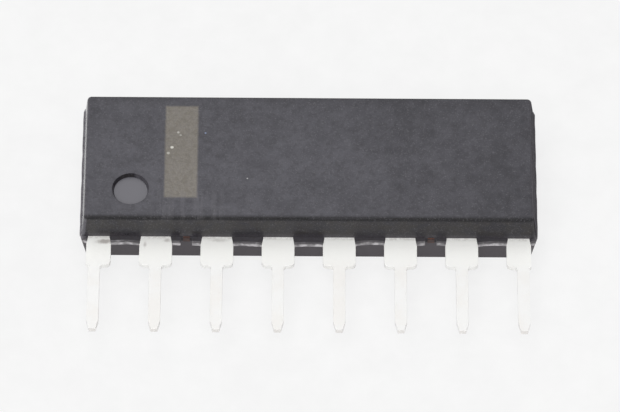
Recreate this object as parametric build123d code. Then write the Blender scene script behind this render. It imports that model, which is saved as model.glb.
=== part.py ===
from build123d import *
from math import cos, hypot, radians, sin, tan
import os

# A single in-line integrated circuit package with eight leads, in millimetres.
# It lies on its back face, z = 0. +X runs along the lead row from lead 1 to lead 8,
# -Y is the way the leads point, and +Z comes out of the marked front face.

# Moulded body, measured over the flash at the parting line where the two mould halves meet
body_height = 6.50
body_thickness = 2.80
body_end_margin = 0.635
parting_height = 1.40
front_lead_side_draft = 8.5
back_lead_side_draft = 6.5
top_side_draft = 5.4
end_draft = 7.3
upright_corner_radius = 0.18
front_rim_radius = 0.12
back_rim_radius = 0.05

# Flash that the resin left beside the strip, round the two ends and the top side
flash_reach = 0.03
flash_unevenness = 0.015
flash_step = 0.45
break_phase = 2.3

# Pin-one dimple in the front face, near lead 1
dimple_from_end = 2.11
dimple_from_lead_side = 1.65
dimple_rim_diameter = 1.54
dimple_floor_diameter = 1.38
dimple_depth = 0.20

# Shallow round marks that the ejector pins leave in the back face
ejector_mark_count = 2
ejector_mark_spacing = 12.00
ejector_mark_diameter = 1.60
ejector_mark_depth = 0.06

# Stamped leads, outside the body
frame_thickness = 0.25
lead_count = 8
lead_pitch = 2.54
lead_reach = 4.50
stem_width = 0.50
tip_width = 0.28
tip_taper_length = 0.42
shoulder_length = 1.37
shoulder_width = 1.36
end_shoulder_outer_half = 0.34
shoulder_flare = 0.06
shoulder_flare_length = 0.36
shoulder_corner_radius = 0.22
stem_root_radius = 0.12
arc_side_share = 0.45

# Stamped leads, inside the body: a neck with a lock hole, then a narrow finger
neck_length = 0.85
lock_hole_diameter = 0.46
lock_hole_from_wall = 0.50
finger_width = 0.33
finger_slant = 0.70
finger_gap = 0.30
fan_tip_pitch = 1.05
fan_bend_share = 0.22

# Die pad, and the two bars that held it in the strip until they were cut
pad_width = 3.20
pad_height = 2.10
pad_from_top_edge = 1.25
pad_corner_radius = 0.12
leads_beside_pad = 2
support_bar_width = 0.28
support_bar_stub = 0.04

# Resin webs on the parting line, between the lead shoulders. Each row is one web, from the
# lead 1 end: how far its broken edge stands out at its two leads and at the place between them,
# and where that place lies as a share of the web's length.
web_breaks = (
    (0.12, 0.15, 0.16, 0.50),
    (0.25, 0.19, 0.25, 0.40),
    (0.23, 0.22, 0.25, 0.50),
    (0.26, 0.24, 0.29, 0.50),
    (0.29, 0.24, 0.28, 0.55),
    (0.24, 0.14, 0.21, 0.68),
    (0.21, 0.15, 0.19, 0.66),
    (0.24, 0.14, 0.18, 0.68),
    (0.16, 0.15, 0.12, 0.50),
)
web_root_depth = 0.20
web_overlap = 0.12
web_notch_clearance = 0.09
web_end_setback = 0.12

# Die, its adhesive, and the bond wires
die_width = 1.70
die_height = 1.30
die_thickness = 0.24
attach_thickness = 0.03
attach_margin = 0.06
wire_diameter = 0.03
wire_sides = 8
wire_ball_diameter = 0.08
wire_ball_height = 0.02
wire_loop_height = 0.14
wire_turn = 0.05
wire_turn_share = 0.33
wire_crest_share = 0.40
wire_inset = 0.14
wire_landing = 0.22

# Heights and edges that follow from the sizes above
row_end_x = lead_pitch * (lead_count - 1) / 2
body_length = 2 * (row_end_x + body_end_margin)
lead_side_y = -body_height / 2
top_side_y = body_height / 2
frame_top_z = parting_height + frame_thickness
wall_end_x = body_length / 2 - flash_reach
wall_top_y = top_side_y - flash_reach
die_bottom_z = frame_top_z + attach_thickness
die_top_z = die_bottom_z + die_thickness
neck_top_y = lead_side_y + neck_length
pad_top_y = top_side_y - pad_from_top_edge
pad_bottom_y = pad_top_y - pad_height
pad_centre_y = (pad_top_y + pad_bottom_y) / 2
side_rows = leads_beside_pad + 1
support_bar_x = row_end_x - lead_pitch * (leads_beside_pad - 0.5)


def side_row_y(row, height, centre_y):
    """Height along Y of one of the evenly spaced rows beside the pad or the die."""
    return centre_y + height * ((row + 0.5) / side_rows - 0.5)


def lead_x(index):
    """Place of a lead's axis along the row."""
    return lead_pitch * index - row_end_x


def lead_rank(index):
    """A lead's place counted inward from the nearer end of the row, from 0."""
    return min(index, lead_count - 1 - index)


def lead_side(index):
    """Half of the row that a lead is in: -1 for the lead 1 half, +1 for the other."""
    return -1 if lead_x(index) < 0 else 1


# ---------------------------------------------------------------- outlines


def beside(path, distance):
    """Points that run beside a flat path, a distance to its left, with mitred corners."""
    normals = []
    for (x0, y0), (x1, y1) in zip(path, path[1:]):
        length = hypot(x1 - x0, y1 - y0)
        normals.append(((y0 - y1) / length, (x1 - x0) / length))
    before = normals[:1] + normals
    after = normals + normals[-1:]
    points = []
    for (x, y), (ax, ay), (bx, by) in zip(path, before, after):
        reach = distance / (1 + ax * bx + ay * by)
        points.append((x + reach * (ax + bx), y + reach * (ay + by)))
    return points


def rounded_face(corners):
    """Flat face from corners given as (x, y, radius), with each arc kept within its two sides."""
    points = [Vector(x, y) for x, y, _ in corners]
    cuts = []
    for before, point, after, (_, _, radius) in zip(
        points[-1:] + points, points, points[1:] + points[:1], corners
    ):
        arriving, leaving = point - before, after - point
        turn = radians(arriving.get_angle(leaving))
        shorter_side = min(arriving.length, leaving.length)
        setback = min(radius * tan(turn / 2), arc_side_share * shorter_side)
        start = point - arriving.normalized() * setback
        cuts.append((start, arriving, point + leaving.normalized() * setback, setback))
    edges = []
    for (start, arriving, end, setback), (next_start, _, _, _) in zip(cuts, cuts[1:] + cuts[:1]):
        if setback > 0:
            edges.append(Edge.make_tangent_arc(start, arriving, end))
        edges.append(Edge.make_line(end, next_start))
    return make_face(edges)


def stamped(face):
    """A face of the lead frame given the frame's thickness, standing on the parting plane."""
    return extrude(Pos(0, 0, parting_height) * face, frame_thickness, dir=(0, 0, 1))


# ------------------------------------------------------------------- leads


def outer_half(index):
    """How far a lead's shoulder stands out on the side away from the row's middle."""
    return end_shoulder_outer_half if lead_rank(index) == 0 else shoulder_width / 2


def neck_offset(index):
    """How far the middle of a lead's neck lies from its axis, towards the row's middle."""
    return (shoulder_width / 2 - outer_half(index)) / 2


def finger_path(index):
    """Centre line of a lead's inner finger, from its neck to its tip beside the die pad."""
    side, rank = lead_side(index), lead_rank(index)
    start_x = lead_x(index) - side * neck_offset(index)
    if rank < leads_beside_pad:
        row_y = side_row_y(side_rows - 1 - rank, pad_height, pad_centre_y)
        return [
            (start_x, neck_top_y),
            (start_x, row_y - finger_slant),
            (start_x - side * finger_slant, row_y),
            (side * (pad_width / 2 + finger_gap), row_y),
        ]
    tip_x = fan_tip_pitch * (index - (lead_count - 1) / 2)
    tip_y = pad_bottom_y - finger_gap
    straight = fan_bend_share * (tip_y - neck_top_y)
    return [
        (start_x, neck_top_y),
        (start_x, neck_top_y + straight),
        (tip_x, tip_y - straight),
        (tip_x, tip_y),
    ]


def blade_side(half_width):
    """One side of a lead's outer blade from tip to neck, as (across, y, radius)."""
    tip_y = lead_side_y - lead_reach
    shoulder_y = lead_side_y - shoulder_length
    return [
        (tip_width / 2, tip_y, 0),
        (stem_width / 2, tip_y + tip_taper_length, 0),
        (stem_width / 2, shoulder_y, stem_root_radius),
        (half_width, shoulder_y, shoulder_corner_radius),
        (half_width, lead_side_y - shoulder_flare_length, 0),
        (half_width - shoulder_flare, lead_side_y, 0),
        (half_width - shoulder_flare, neck_top_y, 0),
    ]


def sharp(points):
    """Corners of an outline that stay sharp, as (x, y, radius)."""
    return [(x, y, 0) for x, y in points]


def lead(index):
    """One stamped lead, from its tapered tip to the finger inside the body."""
    x, side = lead_x(index), lead_side(index)
    path = finger_path(index)
    outer_blade = [(x + side * u, y, r) for u, y, r in blade_side(outer_half(index))]
    inner_blade = [(x - side * u, y, r) for u, y, r in blade_side(shoulder_width / 2)]
    outer_finger = sharp(beside(path, -side * finger_width / 2))
    inner_finger = sharp(beside(path, side * finger_width / 2))
    outline = outer_blade + outer_finger + inner_finger[::-1] + inner_blade[::-1]
    hole_x = x - side * neck_offset(index)
    hole = Pos(hole_x, lead_side_y + lock_hole_from_wall) * Circle(lock_hole_diameter / 2)
    return stamped(rounded_face(outline) - hole)


# ----------------------------------------------------- die pad, die and wires


def support_bar(side):
    """Face of one bar, from the pad's side out and down through the lead side of the body."""
    row_y = side_row_y(0, pad_height, pad_centre_y)
    path = [
        (side * (pad_width / 2 - pad_corner_radius), row_y),
        (side * (support_bar_x - finger_slant), row_y),
        (side * support_bar_x, row_y - finger_slant),
        (side * support_bar_x, lead_side_y - support_bar_stub),
    ]
    left = beside(path, support_bar_width / 2)
    right = beside(path, -support_bar_width / 2)
    return rounded_face(sharp(left + right[::-1]))


def die_pad():
    """The paddle under the die, in one piece with its two cut support bars."""
    paddle = Pos(0, pad_centre_y) * RectangleRounded(pad_width, pad_height, pad_corner_radius)
    return stamped(paddle + support_bar(-1) + support_bar(1))


def die_attach():
    """The film of adhesive between pad and die, squeezed out a little all round."""
    film = RectangleRounded(
        die_width + 2 * attach_margin, die_height + 2 * attach_margin, attach_margin
    )
    return extrude(Pos(0, pad_centre_y, frame_top_z) * film, attach_thickness)


def silicon_die():
    """The sawn silicon chip."""
    square = Rectangle(die_width, die_height)
    return extrude(Pos(0, pad_centre_y, die_bottom_z) * square, die_thickness)


def bond_ends(index):
    """Where a wire leaves the die and where it lands on its finger, in plan."""
    side, rank = lead_side(index), lead_rank(index)
    (back_x, back_y), (tip_x, tip_y) = finger_path(index)[-2:]
    length = hypot(tip_x - back_x, tip_y - back_y)
    share = wire_landing / length
    landing = (tip_x + share * (back_x - tip_x), tip_y + share * (back_y - tip_y))
    if rank < leads_beside_pad:
        row_y = side_row_y(side_rows - 1 - rank, die_height, pad_centre_y)
        return (side * (die_width / 2 - wire_inset), row_y), landing
    fan_count = lead_count - 2 * leads_beside_pad
    place = (index - leads_beside_pad + 0.5) / fan_count - 0.5
    start_x = place * (die_width - 2 * wire_inset)
    return (start_x, pad_centre_y - die_height / 2 + wire_inset), landing


def bond_wire(index):
    """A gold wire: a flattened ball on the die, a rise, a loop and a slope to the finger."""
    start, landing = bond_ends(index)
    span = hypot(landing[0] - start[0], landing[1] - start[1])
    along = ((landing[0] - start[0]) / span, (landing[1] - start[1]) / span, 0)
    loop_plane = Plane(origin=(*start, die_top_z), x_dir=along, z_dir=(along[1], -along[0], 0))
    drop = die_top_z - frame_top_z
    crest = wire_crest_share * span
    slope = (drop + wire_loop_height) / (span - crest)
    overrun = wire_ball_diameter
    line = Polyline(
        (0, 0),
        (0, wire_loop_height - wire_turn),
        (wire_turn * wire_turn_share, wire_loop_height - wire_turn * wire_turn_share),
        (wire_turn, wire_loop_height),
        (crest, wire_loop_height),
        (span + overrun, -drop - slope * overrun),
    )
    die_top = Plane(origin=(*start, die_top_z))
    section = die_top * RegularPolygon(wire_diameter / 2, wire_sides)
    wire = sweep(section, path=loop_plane * line, transition=Transition.RIGHT)
    above_frame = Pos(0, 0, frame_top_z) * Box(
        body_length, body_height, body_thickness, align=(Align.CENTER, Align.CENTER, Align.MIN)
    )
    ball = extrude(die_top * RegularPolygon(wire_ball_diameter / 2, wire_sides), wire_ball_height)
    return (wire & above_frame) + ball


# -------------------------------------------------------------- moulded body


def block_outline(depth):
    """Outline of the block's walls at a height above or below the parting plane."""
    lead_side_draft = front_lead_side_draft if depth > 0 else back_lead_side_draft
    low_y = lead_side_y + abs(depth) * tan(radians(lead_side_draft))
    high_y = wall_top_y - abs(depth) * tan(radians(top_side_draft))
    half_length = wall_end_x - abs(depth) * tan(radians(end_draft))
    place = Pos(0, (low_y + high_y) / 2, parting_height + depth)
    return place * RectangleRounded(2 * half_length, high_y - low_y, upright_corner_radius)


def mould_half(depth):
    """One drafted half of the body, from the parting plane to its flat face."""
    return loft([block_outline(0), block_outline(depth)], ruled=True)


def flash():
    """The thin uneven flash round the ends and the top side, as thick as the lead frame."""
    radius = upright_corner_radius
    low_y, high_y = lead_side_y + radius, wall_top_y - radius
    runs = [
        (Vector(-wall_end_x, low_y), Vector(-wall_end_x, high_y)),
        (Vector(radius - wall_end_x, wall_top_y), Vector(wall_end_x - radius, wall_top_y)),
        (Vector(wall_end_x, high_y), Vector(wall_end_x, low_y)),
    ]
    points = []
    for start, end in runs:
        along = (end - start).normalized()
        outward = Vector(-along.Y, along.X)
        if points:
            diagonal = (outward - along).normalized()
            points.append(start - outward * radius + diagonal * (radius + flash_reach))
        count = round((end - start).length / flash_step)
        for step in range(count + 1):
            reach = flash_reach - flash_unevenness * max(0, sin(break_phase * step))
            points.append(start + (end - start) * (step / count) + outward * reach)
    return stamped(make_face(Polyline(*points, close=True)))


def resin_web(start_x, end_x, web_break):
    """Face of the web that the resin left between two leads, with its uneven broken edge."""
    start_reach, middle_reach, end_reach, middle_share = web_break
    middle_x = start_x + (end_x - start_x) * middle_share
    start = (start_x, lead_side_y - start_reach)
    end = (end_x, lead_side_y - end_reach)
    inside_y = lead_side_y + web_root_depth
    broken_edge = ThreePointArc(start, (middle_x, lead_side_y - middle_reach), end)
    rest = Polyline(end, (end_x, inside_y), (start_x, inside_y), start)
    return make_face(broken_edge + rest)


def resin_webs():
    """Every web along the lead side, notched where the support bars come out."""
    body_end = body_length / 2 - web_end_setback
    ends = [-body_end]
    for index in range(lead_count):
        x, side = lead_x(index), lead_side(index)
        shoulder = [x + side * outer_half(index), x - side * shoulder_width / 2]
        ends += [min(shoulder) + web_overlap, max(shoulder) - web_overlap]
    ends.append(body_end)
    faces = [resin_web(*span) for span in zip(ends[::2], ends[1::2], web_breaks)]
    notch_width = support_bar_width + 2 * web_notch_clearance
    notch = Rectangle(notch_width, body_height, align=(Align.CENTER, Align.MAX))
    notches = [Pos(side * support_bar_x, lead_side_y) * notch for side in (-1, 1)]
    return [stamped(face - notches) for face in faces]


def pin_one_dimple():
    """The tapered round recess that marks the lead 1 end."""
    x = -body_length / 2 + dimple_from_end
    y = lead_side_y + dimple_from_lead_side
    return Pos(x, y, body_thickness) * Cone(
        dimple_floor_diameter / 2,
        dimple_rim_diameter / 2,
        dimple_depth,
        align=(Align.CENTER, Align.CENTER, Align.MAX),
    )


def ejector_marks():
    """The shallow round marks in the back face."""
    first_x = -ejector_mark_spacing * (ejector_mark_count - 1) / 2
    return [
        Pos(first_x + ejector_mark_spacing * number, 0, 0)
        * Cylinder(
            ejector_mark_diameter / 2,
            ejector_mark_depth,
            align=(Align.CENTER, Align.CENTER, Align.MIN),
        )
        for number in range(ejector_mark_count)
    ]


def moulded_body(embedded):
    """The resin block, cast round everything that it holds."""
    block = mould_half(body_thickness - parting_height) + mould_half(-parting_height)
    block = fillet(block.faces().sort_by(Axis.Z)[-1].edges(), front_rim_radius)
    block = fillet(block.faces().sort_by(Axis.Z)[0].edges(), back_rim_radius)
    block += [flash()] + resin_webs()
    block -= [pin_one_dimple()] + ejector_marks()
    return block - embedded


# --------------------------------------------------------------- every node

nodes = {"die_pad": die_pad(), "die_attach": die_attach(), "silicon_die": silicon_die()}
for number in range(lead_count):
    nodes[f"lead_{number + 1}"] = lead(number)
    nodes[f"bond_wire_{number + 1}"] = bond_wire(number)
nodes["moulded_body"] = moulded_body(list(nodes.values()))

os.makedirs("parts", exist_ok=True)
for name, shape in nodes.items():
    export_step(shape, f"parts/{name}.step")
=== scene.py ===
"""Looks of a small single in-line chip package: resin, plated leads, marks and a plain studio.

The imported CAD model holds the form. This script dresses every node, gives the stamped leads
their rolled edges, adds the crushed edges of the broken resin webs, and sets the studio.
All lengths in the classes below are in millimetres; the scene itself is in metres.
"""

from __future__ import annotations

import logging
import math
from dataclasses import dataclass
from enum import Enum
from functools import partial, reduce
from types import SimpleNamespace
from typing import ClassVar

import bmesh
import bpy
from mathutils import Matrix, Vector, noise
from mathutils.bvhtree import BVHTree

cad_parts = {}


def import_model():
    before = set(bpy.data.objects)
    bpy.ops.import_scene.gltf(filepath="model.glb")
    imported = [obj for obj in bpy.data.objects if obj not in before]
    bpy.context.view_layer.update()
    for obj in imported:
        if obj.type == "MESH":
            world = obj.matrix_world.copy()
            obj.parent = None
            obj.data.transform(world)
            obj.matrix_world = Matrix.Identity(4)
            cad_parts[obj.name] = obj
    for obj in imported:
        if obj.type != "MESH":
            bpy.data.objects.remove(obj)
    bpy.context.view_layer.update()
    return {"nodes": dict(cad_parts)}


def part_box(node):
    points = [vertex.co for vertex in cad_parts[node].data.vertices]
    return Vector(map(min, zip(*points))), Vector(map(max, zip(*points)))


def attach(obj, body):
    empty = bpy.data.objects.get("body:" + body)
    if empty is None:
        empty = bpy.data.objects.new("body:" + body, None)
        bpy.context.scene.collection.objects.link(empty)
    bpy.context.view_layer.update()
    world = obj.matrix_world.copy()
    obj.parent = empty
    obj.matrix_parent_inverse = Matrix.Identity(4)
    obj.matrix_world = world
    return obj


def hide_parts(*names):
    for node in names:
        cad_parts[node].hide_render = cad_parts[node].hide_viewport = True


LOG = logging.getLogger("chip_package")
MM = 0.001
ORIGIN = (0.0, 0.0, 0.0)
EVEN = (1.0, 1.0, 1.0)
WHITE = (1.0, 1.0, 1.0, 1.0)
NOISE_SPAN = (0.3, 0.7)  # most values of a noise lie between these
SKIN = 0.02  # half the thickness of a mark on a level face
SOFT_EDGE = {"position": ORIGIN, "softness": 0.02, "unevenness": 0.0, "grain": 0.5}

Socket = bpy.types.NodeSocket
Node = bpy.types.Node
Piece = bpy.types.Object
Colour = tuple[float, float, float, float]
Triple = tuple[float, float, float]
Value = float | tuple | Socket


def colour(red: int, green: int, blue: int) -> Colour:
    """Turn an 8-bit display colour into the linear colour that a shader takes.

    Args:
        red: Red, from 0 to 255.
        green: Green, from 0 to 255.
        blue: Blue, from 0 to 255.

    Returns:
        The linear colour with full alpha.
    """
    linear = []
    for level in (red, green, blue):
        share = level / 255
        linear.append(share / 12.92 if share <= 0.04045 else ((share + 0.055) / 1.055) ** 2.4)
    return (*linear, 1.0)


class Slot(Enum):
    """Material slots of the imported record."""

    RESIN = "moulding_compound"
    TIN = "tinned_lead"


class Ramp(Enum):
    """Ways in which a value is carried from one range to another."""

    LINEAR = "LINEAR"
    SMOOTH = "SMOOTHSTEP"


# ------ shader wiring


class Wiring:
    """Adds nodes to one node tree and joins them."""

    def __init__(self, tree: bpy.types.NodeTree) -> None:
        """Keep the tree that the nodes go into."""
        self.tree = tree

    def add(self, kind: str, **settings: object) -> Node:
        """Add a node and set its properties.

        Args:
            kind: Blender's name of the node type.
            **settings: Properties of the node.

        Returns:
            The new node.
        """
        node = self.tree.nodes.new(kind)
        for name, value in settings.items():
            setattr(node, name, value)
        return node

    def feed(self, node: Node, *values: Value, **named: Value) -> Node:
        """Give a node's inputs links or constants.

        Args:
            node: The node.
            *values: Output sockets or constants for its first inputs, in order.
            **named: The same for other inputs, named in lower case with underscores.

        Returns:
            The same node.
        """
        sockets = {}
        for socket in node.inputs:
            for label in (socket.identifier, socket.name):
                sockets[label.lower().replace(" ", "_")] = socket
        pairs = [*zip(node.inputs, values), *((sockets[name], value) for name, value in named.items())]
        for socket, value in pairs:
            if isinstance(value, Socket):
                self.tree.links.new(value, socket)
            else:
                socket.default_value = value
        return node

    def maths(self, operation: str, *values: Value) -> Socket:
        """Work out one number from others by Blender's name of the operation."""
        return self.feed(self.add("ShaderNodeMath", operation=operation), *values).outputs[0]

    def product(self, *values: Value) -> Socket:
        """Multiply numbers."""
        return reduce(partial(self.maths, "MULTIPLY"), values)

    def total(self, *values: Value) -> Socket:
        """Add numbers."""
        return reduce(partial(self.maths, "ADD"), values)

    def minus(self, *values: Value) -> Socket:
        """Take numbers away from the first one."""
        return reduce(partial(self.maths, "SUBTRACT"), values)

    def largest(self, *values: Value) -> Socket:
        """Pick the largest number."""
        return reduce(partial(self.maths, "MAXIMUM"), values)

    def vector(self, operation: str, *values: Value) -> Socket:
        """Work out one vector from others by Blender's name of the operation."""
        return self.feed(self.add("ShaderNodeVectorMath", operation=operation), *values).outputs[0]

    def axes(self, vector: Value) -> tuple[Socket, ...]:
        """Split a vector into its three parts."""
        return tuple(self.feed(self.add("ShaderNodeSeparateXYZ"), vector).outputs)

    def ramp(
        self,
        value: Value,
        low: Value,
        high: Value,
        start: float = 0.0,
        end: float = 1.0,
        kind: Ramp = Ramp.LINEAR,
    ) -> Socket:
        """Carry a value from one range to another.

        Args:
            value: The value to carry.
            low: Value that gives start.
            high: Value that gives end.
            start: Result at low.
            end: Result at high.
            kind: How the result runs between them.

        Returns:
            The carried value.
        """
        node = self.add("ShaderNodeMapRange", interpolation_type=kind.value)
        return self.feed(node, value, low, high, start, end).outputs[0]

    def eased(self, value: Value, *span: Value) -> Socket:
        """Carry a value over with a soft start and end."""
        return self.ramp(value, *span, kind=Ramp.SMOOTH)

    def swing(self, noisy: Value, middle: float, reach: float) -> Socket:
        """Turn a noise into a value that swings about the middle one, as far as reach."""
        return self.ramp(noisy, *NOISE_SPAN, middle - reach, middle + reach)

    def mixed(self, share: Value, first: Value, second: Value) -> Socket:
        """Mix two colours by the share of the second one."""
        node = self.add("ShaderNodeMix", data_type="RGBA")
        return self.feed(node, share, a_color=first, b_color=second).outputs[2]

    def blended(self, share: Value, first: Value, second: Value) -> Socket:
        """Mix two numbers by the share of the second one."""
        node = self.add("ShaderNodeMix", data_type="FLOAT")
        return self.feed(node, share, a_float=first, b_float=second).outputs[0]

    def clouds(self, place: Value, scale: Value, detail: float, rough: float) -> Socket:
        """Soft random clouds around one half, with scale clouds for each millimetre."""
        node = self.add("ShaderNodeTexNoise")
        return self.feed(node, vector=place, scale=scale, detail=detail, roughness=rough).outputs[0]


class Group(Wiring):
    """A shader node group that takes vectors and numbers and gives numbers."""

    def __init__(self, name: str, *outputs: str, **inputs: float | Triple) -> None:
        """Start the group.

        Args:
            name: Name of the group.
            *outputs: Names of its outputs.
            **inputs: First value of each input.
        """
        super().__init__(bpy.data.node_groups.new(name, "ShaderNodeTree"))
        for label, value in inputs.items():
            kind = "NodeSocketVector" if isinstance(value, tuple) else "NodeSocketFloat"
            socket = self.tree.interface.new_socket(name=label, in_out="INPUT", socket_type=kind)
            socket.default_value = value
        for label in outputs:
            self.tree.interface.new_socket(name=label, in_out="OUTPUT", socket_type="NodeSocketFloat")
        self.given = SimpleNamespace(**dict(zip(inputs, self.add("NodeGroupInput").outputs)))

    def give(self, **results: Value) -> None:
        """Feed the group's outputs by name."""
        self.feed(self.add("NodeGroupOutput"), **results)

    def give_inside(self, distance: Value, edge: Value, kind: Ramp) -> None:
        """Give a mask of the places nearer than a soft edge, which the grain shakes.

        Args:
            distance: The distance of a place.
            edge: The distance of the edge.
            kind: How the mask runs over the edge.
        """
        given = self.given
        shaken = self.total(distance, self.product(self.minus(given.grain, 0.5), given.unevenness))
        low, high = self.minus(edge, given.softness), self.total(edge, given.softness)
        self.give(mask=self.ramp(shaken, low, high, 1.0, 0.0, kind))


class BlockMask(Group):
    """Group whose mask is 1 inside an upright block, with a soft uneven edge."""

    def __init__(self) -> None:
        """Build the group."""
        super().__init__("block_mask", "mask", low=ORIGIN, high=EVEN, **SOFT_EDGE)
        given = self.given
        below = self.vector("SUBTRACT", given.low, given.position)
        above = self.vector("SUBTRACT", given.position, given.high)
        outside = self.axes(self.vector("MAXIMUM", below, above))
        self.give_inside(self.largest(*outside), 0.0, Ramp.LINEAR)


class SpotMask(Group):
    """Group whose mask is 1 inside a ball, with a soft uneven edge."""

    def __init__(self) -> None:
        """Build the group."""
        super().__init__("spot_mask", "mask", centre=ORIGIN, stretch=EVEN, radius=0.1, **SOFT_EDGE)
        offset = self.vector("SUBTRACT", self.given.position, self.given.centre)
        eased = self.vector("DIVIDE", offset, self.given.stretch)
        length = self.feed(self.add("ShaderNodeVectorMath", operation="LENGTH"), eased)
        self.give_inside(length.outputs["Value"], self.given.radius, Ramp.SMOOTH)


class RubMask(Group):
    """Group whose mask is 1 on thin straight rub marks along Y."""

    def __init__(self) -> None:
        """Build the group."""
        super().__init__("rub_marks", "mask", position=ORIGIN, across=9.0, along=0.6, amount=0.3)
        x, y, z = self.axes(self.given.position)
        across, along = self.product(x, self.given.across), self.product(y, self.given.along)
        place = self.feed(self.add("ShaderNodeCombineXYZ"), across, along, z).outputs[0]
        start = self.minus(0.72, self.product(self.given.amount, 0.3))
        lines = self.clouds(place, 1.0, 3.0, 0.6)
        self.give(mask=self.eased(lines, start, self.total(start, 0.12)))


class SurfaceGrain(Group):
    """Group of broad clouds, specks and fine grit, with the height of a moulded surface."""

    def __init__(self) -> None:
        """Build the group."""
        scales = {"cloud_scale": 0.5, "speck_scale": 8.0, "grit_scale": 24.0}
        super().__init__("surface_grain", "clouds", "specks", "grit", "height", position=ORIGIN, **scales)
        given = self.given
        clouds = self.clouds(given.position, given.cloud_scale, 4.0, 0.6)
        specks = self.clouds(given.position, given.speck_scale, 2.0, 0.6)
        grit = self.clouds(given.position, given.grit_scale, 2.0, 0.7)
        height = self.total(self.product(specks, 0.5), self.product(grit, 0.5))
        self.give(clouds=clouds, specks=specks, grit=grit, height=height)


class Effects:
    """The node groups that the finishes share, each built once."""

    def __init__(self) -> None:
        """Build the groups."""
        self.block = BlockMask()
        self.spot = SpotMask()
        self.rubs = RubMask()
        self.grain = SurfaceGrain()


# ------ finishes


@dataclass
class Finish(Wiring):
    """A material, laid as coats of colour and roughness over its main shader.

    Each finish names its material, its clouds, specks and grit for each millimetre, and the
    depth of its relief.
    """

    name: ClassVar[str]
    scales: ClassVar[Triple]
    depth: ClassVar[float]
    effects: Effects

    def __post_init__(self) -> None:
        """Start the material and lay the finish on it."""
        self.material = bpy.data.materials.new(self.name)
        self.material.use_nodes = True
        super().__init__(self.material.node_tree)
        self.shader = self.tree.nodes["Principled BSDF"]
        place = self.add("ShaderNodeTexCoord").outputs["Object"]
        self.place = self.vector("MULTIPLY", place, (1 / MM,) * 3)
        self.x, self.y, self.z = self.axes(self.place)
        self.normal = self.axes(self.add("ShaderNodeNewGeometry").outputs["Normal"])
        clouds, specks, grit = self.scales
        grain = self.group(self.effects.grain, cloud_scale=clouds, speck_scale=specks, grit_scale=grit)
        self.grain = SimpleNamespace(**{socket.name: socket for socket in grain.outputs})
        self.tone: Value = WHITE
        self.rough: Value = 0.5
        self.lay()

    def lay(self) -> None:
        """Lay the coats of the finish."""
        raise NotImplementedError

    def group(self, group: Group, **inputs: Value) -> Node:
        """Place a shared group on this material and feed its inputs by name."""
        node = self.add("ShaderNodeGroup", node_tree=group.tree)
        return self.feed(node, position=self.place, **inputs)

    def spot(self, x: float, y: float, z: float, **inputs: Value) -> Socket:
        """Mask of a ball around a place."""
        return self.group(self.effects.spot, centre=(x, y, z), **inputs).outputs["mask"]

    def soft_patch(self, mark: SoftPatch, z: float, **inputs: Value) -> Socket:
        """Mask of a soft patch on a level face, as strong as its share."""
        spot = self.spot(mark.x, mark.y, z, radius=mark.radius, stretch=mark.stretch, **inputs)
        return self.product(spot, mark.share)

    def patch(self, sides: tuple[float, ...], z: float, **inputs: Value) -> Socket:
        """Mask of a rectangle on a level face, by its left, lower, right and upper side."""
        low, high = (*sides[:2], z - SKIN), (*sides[2:], z + SKIN)
        return self.group(self.effects.block, low=low, high=high, **inputs).outputs["mask"]

    def rubs(self, across: float, along: float, amount: float) -> Socket:
        """Mask of rub marks along Y, by their number and their breaks for each millimetre."""
        node = self.group(self.effects.rubs, across=across, along=along, amount=amount)
        return node.outputs["mask"]

    def facing(self, axis: int, low: float, high: float) -> Socket:
        """Mask of what faces along an axis, from the normal's part low to the part high."""
        return self.eased(self.normal[axis], low, high)

    def coat(self, share: Value, tone: Value | None = None, rough: Value | None = None) -> None:
        """Lay a coat over the colour, the roughness or both.

        Args:
            share: How far the coat covers what lies under it.
            tone: Colour of the coat, if it has its own.
            rough: Roughness of the coat, if it has its own.
        """
        if tone is not None:
            self.tone = self.mixed(share, self.tone, tone)
        if rough is not None:
            self.rough = self.blended(share, self.rough, rough)

    def close(self, height: Value, **others: Value) -> None:
        """Give the main shader the coats, the relief and what else it needs.

        Args:
            height: Height of the relief as a share of its depth.
            **others: Further inputs of the shader, named in lower case with underscores.
        """
        bump = self.feed(self.add("ShaderNodeBump"), strength=1.0, distance=self.depth * MM, height=height)
        others.update(base_color=self.tone, roughness=self.rough, normal=bump.outputs[0])
        self.feed(self.shader, **others)


@dataclass(frozen=True)
class IndexBar:
    """The laser-marked bar beside the dimple, from the lead 1 end and the front face's middle."""

    from_end: float = 3.54
    width: float = 1.30
    bottom: float = -1.985
    top: float = 2.545
    softness: float = 0.08
    unevenness: float = 0.12


@dataclass(frozen=True)
class Speck:
    """A bright fleck on the front face, placed from the body's middle."""

    x: float
    y: float
    radius: float
    tone: Colour


@dataclass(frozen=True)
class SoftPatch:
    """A soft patch placed from the body's middle: the resin face's painted sheen, and the tin's grey
    smudges.
    """

    x: float
    y: float
    radius: float
    stretch: Triple
    share: float


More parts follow.
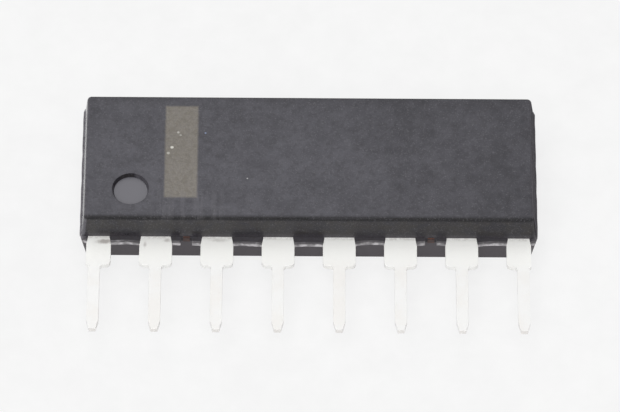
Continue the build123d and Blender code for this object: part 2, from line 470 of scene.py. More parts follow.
@dataclass
class ResinFinish(Finish):
    """Matt moulded resin: fine grain, laser marking, dimple floor, broken flash and flecks, with painted
    light and shade on its sides, edges and face.
    """

    name = "moulded_resin"
    scales = (0.32, 5.5, 17.0)
    depth = 0.006
    low: Vector
    high: Vector
    frame_low: float
    frame_high: float
    dimple: Vector
    dimple_radius: float
    dark: Colour = colour(44, 43, 49)
    light: Colour = colour(84, 83, 90)
    # Painted shade: the long sides take darker tones than the face, for the light that misses them.
    side: Colour = colour(34, 32, 38)
    side_olive: Colour = colour(38, 34, 34)
    # Painted light and shade: a paler foot above the webs, the near end paler and the far end darker.
    side_foot_light: Colour = colour(72, 69, 74)
    near_end: Colour = colour(84, 82, 88)
    far_end: Colour = colour(73, 71, 76)
    # Painted shade: the dark tone of the rounded front edge, where the rounding turns away from the light.
    rim_shade: Colour = colour(18, 17, 20)
    flash: Colour = colour(58, 55, 59)
    # Painted highlight: the flash paler near each end of the body, most at the near end.
    flash_near_highlight: Colour = colour(128, 125, 130)
    flash_far_highlight: Colour = colour(100, 97, 101)
    flash_edge: Colour = colour(74, 71, 74)
    # Pale crushed filler on the broken faces, with a painted highlight in its paleness.
    flash_crushed_and_highlight: Colour = colour(196, 193, 196)
    # Painted light: the back half takes a lighter, brownish tone for the light bounced up from the board.
    lower: Colour = colour(55, 48, 55)
    filler: Colour = colour(126, 124, 129)
    marked: Colour = colour(131, 125, 114)
    marked_light: Colour = colour(158, 151, 138)
    # Painted reflection: the smooth dimple floor takes a paler tone for what it reflects.
    polished: Colour = colour(105, 104, 110)
    roughness: float = 0.50
    roughness_swing: float = 0.06
    side_roughness: float = 0.30
    far_side_roughness: float = 0.55
    rim_roughness: float = 0.78
    end_roughness: float = 0.14
    far_end_roughness: float = 0.90
    far_end_specular: float = 0.12
    lower_roughness: float = 0.50
    flash_roughness: float = 0.85
    marked_roughness: float = 0.78
    polished_roughness: float = 0.30
    # Painted sheen: a broad paler patch over the left and middle of the face, where the light falls
    # brighter.
    painted_sheen: SoftPatch = SoftPatch(-3.6, -1.0, 5.2, (1.5, 0.8, 1.0), 0.42)
    sheen_softness: float = 4.2
    sheen_unevenness: float = 3.0
    foot_height: float = 0.30
    face_low: float = -3.041
    face_high: float = 3.088
    rim_width: float = 0.12
    rim_softness: float = 0.09
    rim_shade_share: float = 0.80
    # Painted shade on the face towards its far edge.
    far_edge_shade_width: float = 0.34
    far_edge_shade_share: float = 0.32
    rim_drop: tuple[float, float] = (0.20, 0.09)
    # Painted shade: a darker disc round the dimple, for the shade of its rounded lip.
    lip_shade_width: float = 0.09
    lip_shade_softness: float = 0.06
    lip_shade_share: float = 0.22
    flash_reach: float = 0.30
    # Shares of the crushed tone on the far end and the top, less than on the near end: painted highlight
    # that follows the light.
    far_crushed_and_highlight: float = 0.15
    top_crushed_and_highlight: float = 0.30
    streak_left: float = 0.4
    streak_right: float = 0.9
    streak_softness: float = 0.35
    streak_share: float = 0.20
    bar: IndexBar = IndexBar()
    specks: tuple[Speck, ...] = (
        Speck(-5.73, 0.49, 0.065, colour(206, 204, 196)),
        Speck(-5.88, 0.20, 0.060, colour(172, 170, 162)),
        Speck(-5.48, 1.25, 0.050, colour(174, 172, 166)),
        Speck(-5.38, 1.11, 0.045, colour(160, 158, 152)),
        Speck(-4.34, 1.23, 0.040, colour(120, 132, 158)),
        Speck(-2.57, -1.05, 0.025, colour(190, 190, 190)),
    )

    def lay(self) -> None:
        """Lay the resin from its sides to its marks."""
        self.mottle = self.clouds(self.place, 1.9, 3.0, 0.65)
        self.front = self.facing(2, 0.90, 0.99)
        self.at_near_end = self.facing(0, -0.70, -0.95)
        self.at_far_end = self.facing(0, 0.70, 0.95)
        self.at_top = self.facing(1, 0.70, 0.95)
        self.lay_sides()
        self.lay_face()
        self.lay_rim()
        self.coat(self.ramp(self.grain.grit, 0.56, 0.72, 0.0, 0.35), self.filler)
        self.coat(self.ramp(self.grain.specks, 0.34, 0.50, 0.30, 0.0), self.side)
        self.rough = self.total(self.rough, self.swing(self.grain.specks, 0.0, self.roughness_swing))
        self.lay_flash()
        bar = self.lay_bar()
        floor = self.lay_floor()
        self.lay_streaks()
        self.lay_flecks()
        relief = self.product(self.grain.height, self.blended(floor, 1.0, 0.25))
        relief = self.minus(relief, self.product(bar, 0.6))
        self.close(relief, specular_ior_level=self.blended(self.at_far_end, 0.5, self.far_end_specular))

    def lay_sides(self) -> None:
        """Lay the four drafted sides, each with its own sheen, in tones that hold painted light and shade.
        """
        # Painted shade: the darker tones of the drafted sides.
        self.tone = self.mixed(self.ramp(self.mottle, 0.40, 0.60), self.side, self.side_olive)
        sheen = (self.side_roughness, self.far_side_roughness)
        self.rough = self.ramp(self.x, self.low.x, self.high.x, *sheen)
        foot_top = self.frame_high + self.foot_height
        # Painted light at the foot of the sides above the webs; painted light and shade on the end walls,
        # the near end paler and the far end darker.
        self.coat(self.eased(self.z, self.frame_high, foot_top, 0.8, 0.0), self.side_foot_light)
        self.coat(self.facing(0, -0.10, -0.35), self.near_end)
        beyond = self.minus(self.facing(0, 0.10, 0.35), self.facing(1, -0.10, -0.35))
        self.coat(beyond, self.far_end)
        self.coat(self.at_near_end, rough=self.end_roughness)
        self.coat(self.at_far_end, rough=self.far_end_roughness)

    def lay_face(self) -> None:
        """Lay the clouded front face with its broad painted sheen, and painted shade round the dimple's
        lip.
        """
        clouds = self.grain.clouds
        edge = {"softness": self.sheen_softness, "unevenness": self.sheen_unevenness, "grain": clouds}
        # The clouds and mottle are the resin's own tone; the broad patch laid with them is painted sheen.
        patches_and_sheen = self.total(
            self.product(self.eased(clouds, 0.36, 0.64), 0.25),
            self.ramp(self.mottle, 0.32, 0.68, 0.0, 0.40),
            self.soft_patch(self.painted_sheen, self.high.z, **edge),
        )
        self.coat(self.front, self.mixed(patches_and_sheen, self.dark, self.light), self.roughness)
        # Painted shade round the dimple's rounded lip.
        edge = {"radius": self.dimple_radius + self.lip_shade_width, "softness": self.lip_shade_softness}
        lip = self.spot(self.dimple.x, self.dimple.y, self.high.z, **edge)
        self.coat(self.product(lip, self.lip_shade_share), self.dark)

    def lay_rim(self) -> None:
        """Paint shade on the face towards its far edge, and on its rounded edge above the leads."""
        # Painted shade along the far edge of the face.
        span = (self.face_high - self.far_edge_shade_width, self.face_high - 0.02)
        self.coat(self.product(self.front, self.ramp(self.y, *span, 0.0, self.far_edge_shade_share)), self.dark)
        edge = self.face_low + self.rim_width
        span = (edge - self.rim_softness, edge + self.rim_softness)
        shaken = self.total(self.y, self.swing(self.grain.specks, 0.0, 0.004))
        # Painted shade on the rounded front edge, which also turns rougher.
        rim_shade_mask = self.product(
            self.eased(shaken, *span, self.rim_shade_share, 0.0),
            self.eased(self.z, *(self.high.z - drop for drop in self.rim_drop)),
        )
        self.coat(rim_shade_mask, self.rim_shade, self.rim_roughness)

    def lay_flash(self) -> None:
        """Lay the back half and the flash: crushed pale where it was broken off, with a painted highlight
        that is strongest on the near end.
        """
        low, high, reach = self.frame_low, self.frame_high, self.flash_reach
        # Painted light on the back half, bounced up from the board.
        self.coat(self.ramp(self.z, low - 0.03, low, 1.0, 0.0), self.lower, self.lower_roughness)
        # Painted highlight: paler flash near each end.
        near = self.ramp(self.x, self.low.x + reach, self.low.x + reach / 3)
        far = self.ramp(self.x, self.high.x - reach, self.high.x - reach / 3)
        flash = self.mixed(far, self.mixed(near, self.flash, self.flash_near_highlight), self.flash_far_highlight)
        # Crushed filler with a painted highlight: full on the near end, faint on the far end and the top.
        far_share = self.product(self.at_far_end, self.far_crushed_and_highlight)
        crushed = self.product(
            self.total(self.at_near_end, far_share, self.product(self.at_top, self.top_crushed_and_highlight)),
            self.eased(self.mottle, 0.38, 0.62, 0.45, 1.0),
            self.ramp(self.grain.specks, 0.30, 0.56, 0.80, 1.0),
        )
        outer = self.largest(self.at_near_end, self.at_far_end, self.at_top)
        flash = self.mixed(outer, flash, self.mixed(crushed, self.flash_edge, self.flash_crushed_and_highlight))
        seam = self.product(
            self.eased(self.z, low - 0.02, low),
            self.eased(self.z, high + 0.004, high + 0.02, 1.0, 0.0),
        )
        self.coat(self.product(seam, self.ramp(self.grain.specks, 0.3, 0.6, 0.4, 1.0)), flash)
        self.coat(seam, rough=self.flash_roughness)

    def lay_bar(self) -> Socket:
        """Lay the index bar.

        Returns:
            The bar's mask.
        """
        bar, grain, left = self.bar, self.grain, self.low.x + self.bar.from_end
        edge = {"softness": bar.softness, "unevenness": bar.unevenness, "grain": grain.specks}
        mask = self.patch((left, bar.bottom, left + bar.width, bar.top), self.high.z, **edge)
        engraved = self.mixed(self.ramp(grain.specks, 0.35, 0.65), self.marked, self.marked_light)
        self.coat(self.product(mask, self.ramp(grain.grit, 0.3, 0.6, 0.72, 1.0)), engraved)
        self.coat(mask, rough=self.marked_roughness)
        return mask

    def lay_floor(self) -> Socket:
        """Lay the dimple's smooth floor, with a paler tone that is a painted reflection.

        Returns:
            The floor's mask.
        """
        x, y, z = self.dimple
        half = self.dimple_radius
        floor = self.patch((x - half, y - half, x + half, y + half), z, softness=0.01)
        # Painted reflection on the smooth floor of the dimple.
        self.coat(floor, self.polished, self.polished_roughness)
        return floor

    def lay_streaks(self) -> None:
        """Lay faint streaks between the bar and the leads."""
        bar, left = self.bar, self.low.x + self.bar.from_end
        right = left + bar.width + self.streak_right
        sides = (left - self.streak_left, self.low.y, right, bar.bottom + 0.1)
        edge = {"softness": self.streak_softness, "unevenness": 0.3, "grain": self.grain.clouds}
        streaked = self.patch(sides, self.high.z, **edge)
        self.coat(self.product(self.rubs(4.0, 0.30, 0.90), streaked, self.streak_share), self.filler)

    def lay_flecks(self) -> None:
        """Strew the flecks over the face."""
        edge = {"softness": 0.02, "unevenness": 0.05, "grain": self.grain.grit}
        for speck in self.specks:
            self.coat(self.spot(speck.x, speck.y, self.high.z, radius=speck.radius, **edge), speck.tone)


@dataclass
class BrokenResinFinish(Finish):
    """Resin where it was broken off: pale crushed filler over darker resin, its paleness partly a painted
    highlight.
    """

    name = "broken_web_edge"
    scales = (1.7, 8.0, 26.0)
    depth = 0.006
    foot: float
    top: float
    deep: Colour = colour(74, 71, 74)
    # Pale crushed filler, with a painted highlight in its paleness.
    crushed: Colour = colour(202, 199, 202)
    roughness: float = 0.85
    foot_share: float = 0.22
    top_share: float = 0.12

    def lay(self) -> None:
        """Lay the break, palest between its foot and its top."""
        height = self.total(self.z, self.swing(self.grain.clouds, 0.0, 0.08))
        patches = self.clouds(self.place, 2.6, 2.0, 0.5)
        # Crushed filler with a painted highlight: palest between the foot and the top of the break.
        pale = self.product(
            self.eased(height, self.foot - 0.06, self.foot + 0.04, self.foot_share, 1.0),
            self.eased(height, self.top - 0.11, self.top + 0.02, 1.0, self.top_share),
            self.eased(patches, 0.38, 0.62, 0.36, 1.0),
            self.ramp(self.grain.specks, 0.30, 0.56, 0.86, 1.0),
        )
        self.tone = self.mixed(pale, self.deep, self.crushed)
        self.rough = self.swing(self.grain.grit, self.roughness, 0.1)
        self.close(self.grain.height)


@dataclass
class TinFinish(Finish):
    """Matt tin plating: crystals, rub marks, a painted paler tone on the shoulders, a rougher root with
    painted shade, grey smudges and bare tip ends.
    """

    name = "matt_tin"
    scales = (0.55, 7.0, 30.0)
    depth = 0.0035
    root_y: float
    tip_y: float
    top_z: float
    # Painted light: a paler tone on the shoulders near the body, against the shade that the body casts
    # there.
    paler_tone: Colour = colour(252, 252, 249)
    bright: Colour = colour(247, 247, 246)
    warm: Colour = colour(245, 243, 240)
    # Grey tone for the smudges, and painted shade at the root.
    stain_and_shade: Colour = colour(160, 152, 148)
    bare: Colour = colour(240, 237, 234)
    roughness: float = 0.62
    metallic: float = 0.26
    crystals: float = 26.0
    smudges: tuple[SoftPatch, ...] = (
        SoftPatch(-8.49, -3.47, 0.11, (2.6, 1.0, 1.0), 0.75),
        SoftPatch(-6.79, -3.60, 0.06, (0.8, 1.8, 1.0), 0.50),
        SoftPatch(-5.88, -3.40, 0.08, (1.6, 1.0, 1.0), 0.50),
        SoftPatch(-3.75, -3.38, 0.07, (4.0, 1.0, 1.0), 0.35),
    )

    def lay(self) -> None:
        """Lay the plating from root to tip."""
        grain = self.grain
        warmth = self.eased(grain.clouds, 0.40, 0.62, 0.0, 0.8)
        self.tone = self.mixed(warmth, self.bright, self.warm)
        # Painted light on the shoulders near the body.
        self.coat(self.eased(self.y, self.root_y - 1.9, self.root_y - 0.7), self.paler_tone)
        # Painted shade in the crease at the root, and grey smudges; both also turn rougher.
        darkened = self.shade_and_stain_places()
        self.coat(darkened, self.stain_and_shade)
        near_tip = self.ramp(self.y, self.tip_y + 0.05, self.tip_y + 0.02)
        tip = self.product(self.facing(1, -0.5, -0.9), near_tip)
        self.coat(self.product(tip, self.ramp(grain.grit, 0.3, 0.6, 0.6, 1.0)), self.bare)
        rub = self.rubs(14.0, 0.8, 0.4)
        rough = self.minus(self.swing(grain.specks, self.roughness, 0.07), self.product(rub, 0.08))
        self.rough = self.total(rough, self.product(darkened, 0.25))
        crystals = self.add("ShaderNodeTexVoronoi", feature="F1")
        self.feed(crystals, vector=self.place, scale=self.crystals)
        relief = self.total(self.product(crystals.outputs["Distance"], 0.6), grain.height)
        self.close(self.minus(relief, self.product(rub, 0.5)), metallic=self.metallic)

    def shade_and_stain_places(self) -> Socket:
        """Mask of the root's painted shade and of the smudges.

        Returns:
            The mask.
        """
        darkened = self.product(
            # Painted shade: a darker band right at the root, where the lead leaves the body.
            self.eased(self.y, self.root_y - 0.16, self.root_y - 0.01),
            self.ramp(self.grain.specks, 0.36, 0.62, 0.0, 0.35),
        )
        edge = {"softness": 0.07, "unevenness": 0.12, "grain": self.grain.specks}
        return self.largest(darkened, *(self.soft_patch(mark, self.top_z, **edge) for mark in self.smudges))


@dataclass
class CopperFinish(Finish):
    """Rolled copper of the stamped frame, with dark cut ends at the body's lead side."""

    name = "rolled_copper"
    scales = (0.7, 8.0, 24.0)
    depth = 0.004
    root_y: float
    # Paler copper, not yet aged.
    paler_tone: Colour = colour(196, 128, 96)
    aged: Colour = colour(160, 98, 72)
    cut: Colour = colour(70, 54, 52)
    roughness: float = 0.38
    cut_roughness: float = 0.6
    cut_depth: float = 0.10

    def lay(self) -> None:
        """Lay the rolled strip and its cut ends."""
        grain, lines = self.grain, self.rubs(16.0, 0.5, 0.7)
        self.tone = self.mixed(self.ramp(grain.clouds, 0.38, 0.62), self.paler_tone, self.aged)
        self.rough = self.roughness
        end = self.ramp(self.y, self.root_y + self.cut_depth, self.root_y)
        self.coat(self.product(end, self.ramp(grain.specks, 0.3, 0.5, 0.9, 1.0)), self.cut)
        self.coat(end, rough=self.cut_roughness)
        self.rough = self.total(self.rough, self.product(lines, 0.1))
        relief = self.total(grain.height, self.product(lines, 0.8))
        self.close(relief, metallic=self.blended(end, 0.9, 0.2))


@dataclass
class AdhesiveFinish(Finish):
    """Silver-filled adhesive: dull paste with metal flakes."""

    name = "silver_paste"
    scales = (2.0, 14.0, 45.0)
    depth = 0.004
    paste: Colour = colour(150, 148, 142)
    flake: Colour = colour(214, 213, 208)

    def lay(self) -> None:
        """Lay the paste and its flakes."""
        flakes = self.ramp(self.grain.grit, 0.48, 0.56)
        self.tone = self.mixed(flakes, self.paste, self.flake)
        self.rough = self.swing(self.grain.specks, 0.50, 0.10)
        self.close(self.grain.height, metallic=self.blended(flakes, 0.25, 0.95))


@dataclass
class SiliconFinish(Finish):
    """Polished silicon: sawn sides, and blocks of circuit under the clear top layer."""

    name = "patterned_silicon"
    scales = (3.0, 12.0, 60.0)
    depth = 0.003
    blank: Colour = colour(70, 74, 88)
    circuit: Colour = colour(118, 126, 138)
    metal: Colour = colour(186, 184, 176)
    sawn: Colour = colour(66, 66, 70)

    def lay(self) -> None:
        """Lay the sawn sides and the patterned top."""
        top = self.facing(2, 0.7, 0.9)
        blocks = self.add("ShaderNodeTexVoronoi", feature="F1", distance="CHEBYCHEV")
        self.feed(blocks, vector=self.place, scale=7.0, randomness=0.45)
        tracks = self.add("ShaderNodeTexBrick")
        self.feed(tracks, vector=self.place, scale=9.0, mortar_size=0.06)
        ground = self.mixed(self.ramp(blocks.outputs["Distance"], 0.2, 0.6), self.circuit, self.blank)
        ground = self.mixed(self.product(tracks.outputs["Fac"], 0.8), ground, self.metal)
        self.tone = self.mixed(top, self.sawn, ground)
        self.rough = self.blended(top, 0.55, self.swing(self.grain.specks, 0.17, 0.05))
        relief = self.product(self.grain.height, self.blended(top, 1.0, 0.2))
        self.close(relief, metallic=self.blended(top, 0.2, 0.5))


@dataclass
class GoldFinish(Finish):
    """Drawn gold wire, slightly uneven in colour and polish."""

    name = "drawn_gold"
    scales = (1.5, 16.0, 50.0)
    depth = 0.001
    bright: Colour = colour(240, 196, 104)
    deep: Colour = colour(222, 170, 78)

    def lay(self) -> None:
        """Lay the gold."""
        self.tone = self.mixed(self.ramp(self.grain.clouds, 0.35, 0.65), self.deep, self.bright)
        self.rough = self.swing(self.grain.specks, 0.23, 0.07)
        self.close(self.grain.height, metallic=1.0)


@dataclass
class BoardFinish(Finish):
    """Smooth white board, which shows partly by its own white."""

    name = "white_board"
    scales = (0.12, 0.9, 3.0)
    depth = 0.002
    pale: Colour = colour(248, 248, 248)
    shade: Colour = colour(245, 245, 245)
    own_white: float = 0.85

    def lay(self) -> None:
        """Lay the board and its own white."""
        mottle = self.total(self.product(self.grain.clouds, 0.5), self.product(self.grain.specks, 0.5))
        self.tone = self.mixed(self.ramp(mottle, 0.38, 0.62), self.shade, self.pale)
        self.rough = self.swing(self.grain.grit, 0.90, 0.05)
        self.close(self.grain.height, specular_ior_level=0.0)
        path = self.add("ShaderNodeLightPath").outputs
        seen = self.largest(path["Is Camera Ray"], path["Is Glossy Ray"], path["Is Transmission Ray"])
        glow = self.feed(self.add("ShaderNodeEmission"), color=self.tone, strength=1.0).outputs[0]
        share, blend = self.product(seen, self.own_white), self.add("ShaderNodeMixShader")
        self.feed(blend, share, self.shader.outputs[0], glow)
        self.feed(self.tree.nodes["Material Output"], surface=blend.outputs[0])


# ------ parts of the package


def report(piece: Piece, note: str) -> None:
    """Log a finished piece with its size in millimetres."""
    size = [round(length / MM, 3) for length in piece.dimensions]
    LOG.info("%s: %s, %s mm, %d faces", piece.name, note, size, len(piece.data.polygons))


def dress(piece: Piece, material: bpy.types.Material) -> None:
    """Give every material slot of a piece one material.

    Args:
        piece: The piece.
        material: Its material.
    """
    if not piece.material_slots:
        piece.data.materials.append(material)
    for held in piece.material_slots:
        held.material = material


def put_in_scene(name: str, data: bpy.types.ID) -> Piece:
    """Put a new object with its data into the scene.

    Args:
        name: Name of the object.
        data: Its mesh, lamp or camera.

    Returns:
        The object.
    """
    thing = bpy.data.objects.new(name, data)
    bpy.context.scene.collection.objects.link(thing)
    return thing


def make_piece(name: str, shape: bmesh.types.BMesh) -> Piece:
    """Turn a finished shape into a piece of the scene.

    Args:
        name: Name of the piece.
        shape: Its shape, which is freed.

    Returns:
        The piece.
    """
    mesh = bpy.data.meshes.new(name)
    shape.to_mesh(mesh)
    shape.free()
    return put_in_scene(name, mesh)


def node_box(node: str) -> tuple[Vector, Vector]:
    """Lowest and highest corner of a CAD node in millimetres."""
    low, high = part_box(node)
    return low / MM, high / MM


@dataclass(frozen=True)
class WebBreak:
    """The crushed strip on the broken edge of a web.

    Reaches are taken from the body's middle towards the leads, beyond half the body's height.
    The rates of the noise are for each millimetre.
    """

    step: float = 0.02
    shortest_run: int = 5
    least_reach: float = 0.08
    most_reach: float = 0.40
    reach_limit: float = 0.50
    least_facing: float = 0.4
    rows: int = 7
    depth: float = 0.05
    top_gap: float = 0.0015
    foot_gap: float = 0.02
    ridge: float = 0.0044
    ridge_swing: float = 0.0072
    ridge_rate: float = 3.1
    ridge_plane: float = 7.0
    least_ridge: float = 0.002
    stand: float = 0.030
    rough: float = 0.018
    rough_rates: tuple[float, float] = (6.0, 9.0)
    rough_form: tuple[float, float, int] = (0.7, 2.2, 4)
    chip: float = 0.016
    chip_rate: float = 2.4
    chip_seed_rate: float = 3.1
    least_stand: float = -0.008
    foot_share: float = 0.4
    first_seed: float = 1.0
    seed_step: float = 1.7


@dataclass
class MouldedBody:
    """The resin block, and the crushed edges of the webs between its leads."""

    nodes: dict[str, Piece]
    effects: Effects
    dimple_from_end: float = 2.11
    dimple_above_lead_side: float = 1.65
    dimple_radius: float = 0.74
    dimple_depth: float = 0.20
    body_height: float = 6.50
    web: WebBreak = WebBreak()

    def __post_init__(self) -> None:
        """Measure the body."""
        self.node = self.nodes["moulded_body"]
        self.low, self.high = node_box("moulded_body")
        lead_low, lead_high = node_box("lead_1")
        self.frame_low, self.frame_high = lead_low.z, lead_high.z
        self.root_y = -self.body_height / 2

    def dress_body(self) -> None:
        """Give the CAD body its resin."""
        dimple = Vector((
            self.low.x + self.dimple_from_end,
            self.root_y + self.dimple_above_lead_side,
            self.high.z - self.dimple_depth,
        ))
        places = (self.low, self.high, self.frame_low, self.frame_high, dimple, self.dimple_radius)
        dress(self.node, ResinFinish(self.effects, *places).material)
        report(self.node, "moulded resin")

    def runs(self) -> list[list[tuple[float, float]]]:
        """Find the broken edges of the webs on the CAD body.

        Returns:
            A list of (travel along X, reach towards the leads) for each unbroken run.
        """
        tree = BVHTree.FromObject(self.node, bpy.context.evaluated_depsgraph_get())
        height = (self.frame_low + self.frame_high) / 2
        lowest, highest = self.web.least_reach - self.root_y, self.web.most_reach - self.root_y
        found: list[list[tuple[float, float]]] = [[]]
        for number in range(round(2 * self.high.x / self.web.step) + 1):
            travel = self.web.step * number - self.high.x
            start = Vector((travel, -2 * highest, height)) * MM
            hit, normal, _, _ = tree.ray_cast(start, Vector((0.0, 1.0, 0.0)))
            reach = -hit.y / MM if hit is not None else 0.0
            if lowest < reach < highest and -normal.y > self.web.least_facing:
                found[-1].append((travel, reach))
            elif found[-1]:
                found.append([])
        return [run for run in found if len(run) >= self.web.shortest_run]

    def column(self, travel: float, reach: float, seed: float) -> list[Vector]:
        """Work out the ring of points across a strip at one place.

        Args:
            travel: Place along X.
            reach: Reach of the CAD edge towards the leads.
            seed: Shift of the noise.

        Returns:
            The points: the ragged face from its foot to its top, then the back.
        """
        web, last = self.web, self.web.rows - 1
        thickness = self.frame_high - self.frame_low
        heights = [self.frame_low + thickness * row / last for row in range(web.rows)]
        lip = noise.noise(Vector((travel * web.ridge_rate, seed, web.ridge_plane)))
        heights[-1] += max(web.least_ridge, web.ridge + web.ridge_swing * lip)
        chip = noise.noise(Vector((travel * web.chip_rate, seed * web.chip_seed_rate, 0.0)))
        points = []
        for row, height in enumerate(heights):
            turns = Vector((travel * web.rough_rates[0], height * web.rough_rates[1], seed))
            stand = web.stand + web.rough * noise.fractal(turns, *web.rough_form) + web.chip * chip
            stand = max(web.least_stand, stand) * (web.foot_share if row == 0 else 1.0)
            outermost = min(web.reach_limit - self.root_y, reach + stand)
            points.append(Vector((travel, -outermost, height)))
        for height in (self.frame_high + web.top_gap, self.frame_low + web.foot_gap):
            points.append(Vector((travel, web.depth - reach, height)))
        return points

    def strip(self, name: str, run: list[tuple[float, float]], seed: float) -> Piece:
        """Build the ragged face of one broken run as a thin closed strip.

        Args:
            name: Name of the strip.
            run: The edge as (travel, reach).
            seed: Shift of the noise, so that no two strips look alike.

        Returns:
            The strip.
        """
        shape = bmesh.new()
        columns = []
        for travel, reach in run:
            points = self.column(travel, reach, seed)
            columns.append([shape.verts.new(point * MM) for point in points])
        count = len(columns[0])
        for here, following in zip(columns, columns[1:]):
            for row in range(count):
                after = (row + 1) % count
                shape.faces.new((here[row], following[row], following[after], here[after]))
        shape.faces.new(columns[0])
        shape.faces.new(columns[-1][::-1])
        bmesh.ops.recalc_face_normals(shape, faces=shape.faces)
        return make_piece(name, shape)

    def break_webs(self) -> None:
        """Build and dress the crushed strips."""
        seed = self.web.first_seed
        finish = BrokenResinFinish(self.effects, self.frame_low, self.frame_high).material
        for number, run in enumerate(self.runs(), start=1):
            piece = self.strip(f"web_edge_{number}", run, seed)
            dress(piece, finish)
            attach(piece, "root")
            report(piece, "broken resin")
            seed += self.web.seed_step

    def build(self) -> None:
        """Dress the body and break its webs."""
        self.dress_body()
        self.break_webs()


@dataclass
class LeadRow:
    """The eight stamped leads, with the rolled edges that stamping leaves."""

    nodes: dict[str, Piece]
    effects: Effects
    root_y: float
    count: int = 8
    edge_radius: float = 0.015
    edge_segments: int = 3
    edge_angle: float = math.radians(32)
    flat_angle: float = math.radians(0.6)
    cut_inside: float = 0.05
    weld: float = 2e-4
    on_cut: float = 1e-4
    clear_of_cut: float = 1e-3

    def rolled_lead(self, number: int) -> Piece:
        """Copy one CAD lead, clear its flat faces of seams and roll its edges.

        The flat faces are cleared on either side of a cut just inside the body, so that no
        seam runs from the hidden half over the shoulder.

        Args:
            number: Number of the lead, from 1.

        Returns:
            The new lead.
        """
        name = f"lead_{number}"
        shape = bmesh.new()
        shape.from_mesh(self.nodes[name].data)
        bmesh.ops.remove_doubles(shape, verts=shape.verts, dist=self.weld * MM)
        cut_y = (self.root_y + self.cut_inside) * MM
        bmesh.ops.bisect_plane(
            shape,
            geom=[*shape.verts, *shape.edges, *shape.faces],
            dist=self.on_cut * MM,
            plane_co=(0.0, cut_y, 0.0),
            plane_no=(0.0, 1.0, 0.0),
        )
        clear = self.clear_of_cut * MM
        for way in (-1.0, 1.0):
            verts = [vert for vert in shape.verts if (vert.co.y - cut_y) * way > clear]
            edges = [
                edge for edge in shape.edges
                if (sum(vert.co.y for vert in edge.verts) / 2 - cut_y) * way > clear
            ]
            bmesh.ops.dissolve_limit(shape, angle_limit=self.flat_angle, verts=verts, edges=edges)
        lead = make_piece(f"plated_{name}", shape)
        bevel = lead.modifiers.new("rolled_edge", "BEVEL")
        bevel.width = self.edge_radius * MM
        bevel.segments = self.edge_segments
        bevel.limit_method = "ANGLE"
        bevel.angle_limit = self.edge_angle
        bevel.use_clamp_overlap = True
        normals = lead.modifiers.new("even_normals", "WEIGHTED_NORMAL")
        normals.keep_sharp = False
        for face in lead.data.polygons:
            face.use_smooth = True
        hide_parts(name)
        return lead

    def build(self) -> None:
        """Build and dress every lead."""
        low, high = node_box("lead_1")
        finish = TinFinish(self.effects, self.root_y, low.y, high.z).material
        for number in range(1, self.count + 1):
            lead = self.rolled_lead(number)
            dress(lead, finish)
            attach(lead, "root")
            report(lead, "plated lead")


@dataclass
class InnerParts:
    """What the resin is cast round: pad, adhesive, die and wires."""

    nodes: dict[str, Piece]
    effects: Effects
    root_y: float

    def build(self) -> None:
        """Dress every inner node."""
        finishes = {
            "bond_wire": GoldFinish(self.effects).material,
            "die_pad": CopperFinish(self.effects, self.root_y).material,
            "die_attach": AdhesiveFinish(self.effects).material,
            "silicon_die": SiliconFinish(self.effects).material,
        }
        for name, node in sorted(self.nodes.items()):
            kind = name.rstrip("_0123456789")
            if kind in finishes:
                dress(node, finishes[kind])
                report(node, "inner part")


# ------ studio


def direction(elevation: float, turn: float) -> Vector:
    """Unit vector at an elevation, turned from the far side to the left, both in degrees."""
    tilt, way = math.radians(elevation), math.radians(turn)
    return Vector((-math.sin(way) * math.cos(tilt), math.cos(way) * math.cos(tilt), math.sin(tilt)))


@dataclass(frozen=True)
class Panel:
    """A soft square lamp that faces the package; turn runs from straight behind it to the left."""

    name: str
    size: float
    distance: float
    elevation: float
    turn: float
    power: float


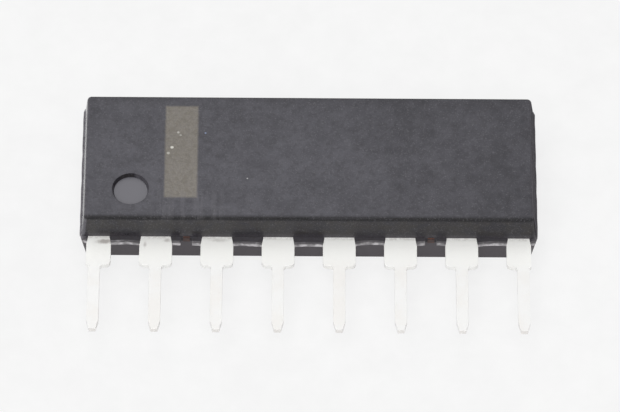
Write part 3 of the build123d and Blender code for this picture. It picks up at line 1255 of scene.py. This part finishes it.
@dataclass
class Studio:
    """Camera, board and soft light."""

    effects: Effects
    target: Triple = (0.047, -1.479, 1.4)
    distance: float = 218.842
    elevation: float = 56.315
    azimuth: float = -0.304
    roll: float = 0.61
    lens: float = 304.22
    sensor: float = 36.0
    nearest_seen: float = 10.0
    farthest_seen: float = 10_000.0
    board_size: float = 3000.0
    board_drop: float = 0.01
    sky_overhead: float = 0.57
    sky_level: float = 0.48
    sky_front_share: float = 0.90
    sky_right_share: float = 0.85
    sky_rise: tuple[float, float] = (0.0, 0.9)
    sky_front: tuple[float, float] = (-0.90, -0.10)
    sky_right: tuple[float, float] = (0.10, 0.90)
    sky_seen: float = 0.93
    panels: tuple[Panel, ...] = (
        Panel("back_panel", 260.0, 340.0, 58.0, 18.0, 0.16),
        Panel("front_panel", 240.0, 340.0, 62.0, 168.0, 0.585),
    )

    def set_camera(self) -> None:
        """Place the camera and make it the scene's own."""
        roll = math.radians(self.roll)
        back = direction(self.elevation, self.azimuth + 180.0)
        level = Vector((0.0, 0.0, 1.0)).cross(back).normalized()
        upright = back.cross(level)
        right = level * math.cos(roll) + upright * math.sin(roll)
        up = upright * math.cos(roll) - level * math.sin(roll)
        data = bpy.data.cameras.new("camera")
        data.lens = self.lens
        data.sensor_fit = "HORIZONTAL"
        data.sensor_width = self.sensor
        data.clip_start = self.nearest_seen * MM
        data.clip_end = self.farthest_seen * MM
        camera = put_in_scene("camera", data)
        turned = Matrix((right, up, back)).transposed().to_4x4()
        camera.matrix_world = Matrix.Translation((Vector(self.target) + back * self.distance) * MM) @ turned
        bpy.context.scene.camera = camera
        bpy.context.scene.view_settings.view_transform = "Standard"

    def lay_board(self) -> None:
        """Lay the board under the package."""
        half = self.board_size / 2 * MM
        mesh = bpy.data.meshes.new("board")
        corners = [(-half, -half, 0), (half, -half, 0), (half, half, 0), (-half, half, 0)]
        mesh.from_pydata(corners, [], [(0, 1, 2, 3)])
        board = put_in_scene("board", mesh)
        board.location.z = -self.board_drop * MM
        dress(board, BoardFinish(self.effects).material)

    def light_sky(self) -> None:
        """Light everything softly from all round, brightest overhead."""
        world = bpy.data.worlds.new("soft_sky")
        bpy.context.scene.world = world
        world.use_nodes = True
        wiring = Wiring(world.node_tree)
        across, depth, height = wiring.axes(wiring.add("ShaderNodeTexCoord").outputs["Generated"])
        level = wiring.product(
            wiring.eased(height, *self.sky_rise, self.sky_level, self.sky_overhead),
            wiring.eased(depth, *self.sky_front, self.sky_front_share, 1.0),
            wiring.eased(across, *self.sky_right, 1.0, self.sky_right_share),
        )
        seen = wiring.add("ShaderNodeLightPath").outputs["Is Camera Ray"]
        strength = wiring.blended(seen, level, self.sky_seen)
        wiring.feed(world.node_tree.nodes["Background"], color=WHITE, strength=strength)

    def hang_panel(self, panel: Panel) -> None:
        """Hang a soft panel.

        Args:
            panel: Its place, size and power.
        """
        toward = direction(panel.elevation, panel.turn)
        data = bpy.data.lights.new(panel.name, "AREA")
        data.shape = "SQUARE"
        data.size = panel.size * MM
        data.energy = panel.power
        lamp = put_in_scene(panel.name, data)
        lamp.location = toward * panel.distance * MM
        lamp.rotation_mode = "QUATERNION"
        lamp.rotation_quaternion = toward.to_track_quat("Z", "Y")
        lamp.visible_camera = False

    def build(self) -> None:
        """Set the whole studio."""
        self.set_camera()
        self.lay_board()
        self.light_sky()
        for panel in self.panels:
            self.hang_panel(panel)
        LOG.info("studio: camera, board, sky and %d panels", len(self.panels))


def main() -> None:
    """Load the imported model, dress it and set the studio."""
    logging.basicConfig(level=logging.INFO, format="%(name)s: %(message)s")
    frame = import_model()
    effects = Effects()
    Studio(effects).build()
    body = MouldedBody(frame["nodes"], effects)
    body.build()
    LeadRow(frame["nodes"], effects, body.root_y).build()
    InnerParts(frame["nodes"], effects, body.root_y).build()


if __name__ == "__main__":
    main()
